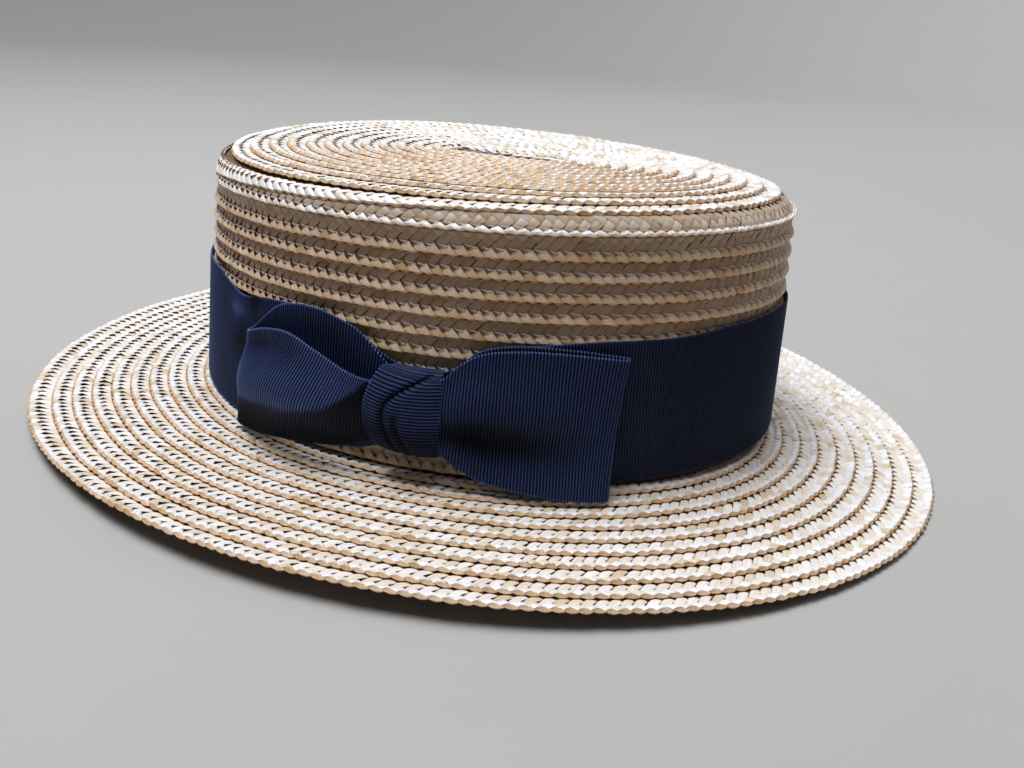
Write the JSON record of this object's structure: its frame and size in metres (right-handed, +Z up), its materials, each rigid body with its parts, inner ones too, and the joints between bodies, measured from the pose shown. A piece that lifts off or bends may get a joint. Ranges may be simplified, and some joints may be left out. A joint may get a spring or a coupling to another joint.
{
  "type": "straw boater hat",
  "caption": "Stiff plaited-straw boater with a flat-topped oval crown, a wide brim and a dark ribbon band tied in a flat side bow; worn on the head.",
  "frame": {"origin": "on the surface the brim rests on, under the middle of the brim's outline", "axes": "+X towards the front of the hat, +Y towards the left side of who wears it, +Z up; the bow is on the -Y side"},
  "size_m": [0.314, 0.2866, 0.0883],
  "materials": {
    "straw": "natural pale wheat straw, plaited and sewn in overlapping rows, with a soft gloss",
    "ribbon": "navy blue grosgrain ribbon with fine cross ribs and a dull sheen"
  },
  "bodies": {
    "root": {"crown": "straw", "brim": "straw", "hat_band": "ribbon", "bow_left_loop": "ribbon", "bow_right_loop": "ribbon", "bow_knot": "ribbon"}
  },
  "joints": []
}
